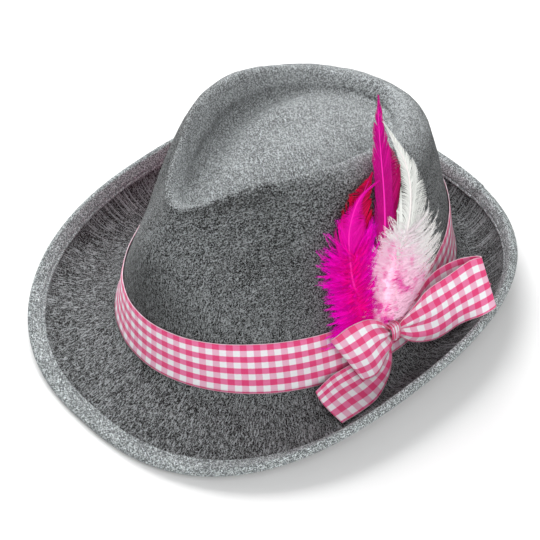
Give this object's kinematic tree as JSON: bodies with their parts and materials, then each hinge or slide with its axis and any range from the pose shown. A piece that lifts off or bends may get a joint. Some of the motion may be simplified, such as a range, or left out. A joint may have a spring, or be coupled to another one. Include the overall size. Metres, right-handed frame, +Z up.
{
  "type": "tyrolean hat",
  "caption": "Soft felt hat with a pinched crown, a curled bound brim, a checked ribbon band tied in a side bow, and a cluster of feathers and down.",
  "frame": {"origin": "bottom centre of the bounding box, on the table the hat rests on", "axes": "+Z up, -Y to the front of the hat, +X to the wearer's left, where the bow and feathers are"},
  "size_m": [0.234, 0.2657, 0.1584],
  "materials": {
    "felt": "matte wool felt, grey melange",
    "binding": "matte felt tape, lighter grey",
    "ribbon": "woven ribbon in a pink and white check",
    "feather_crimson": "soft sheen, dyed crimson",
    "feather_plum": "soft sheen, dyed plum",
    "feather_magenta": "soft sheen, dyed magenta",
    "feather_white": "soft sheen, white with pale pink",
    "down_magenta": "fluffy matte down, dyed magenta",
    "down_white": "fluffy matte down, white to pale pink"
  },
  "bodies": {
    "root": {"felt_body": "felt", "brim_binding": "binding", "hat_band": "ribbon", "bow_knot": "ribbon", "bow_loop_front": "ribbon", "bow_loop_back": "ribbon", "bow_tail_front": "ribbon", "bow_tail_back": "ribbon", "feather_red": "feather_crimson", "feather_back": "feather_plum", "feather_long": "feather_magenta", "feather_white": "feather_white", "feather_small": "feather_magenta", "plume_magenta": "down_magenta", "plume_white": "down_white"}
  },
  "joints": []
}
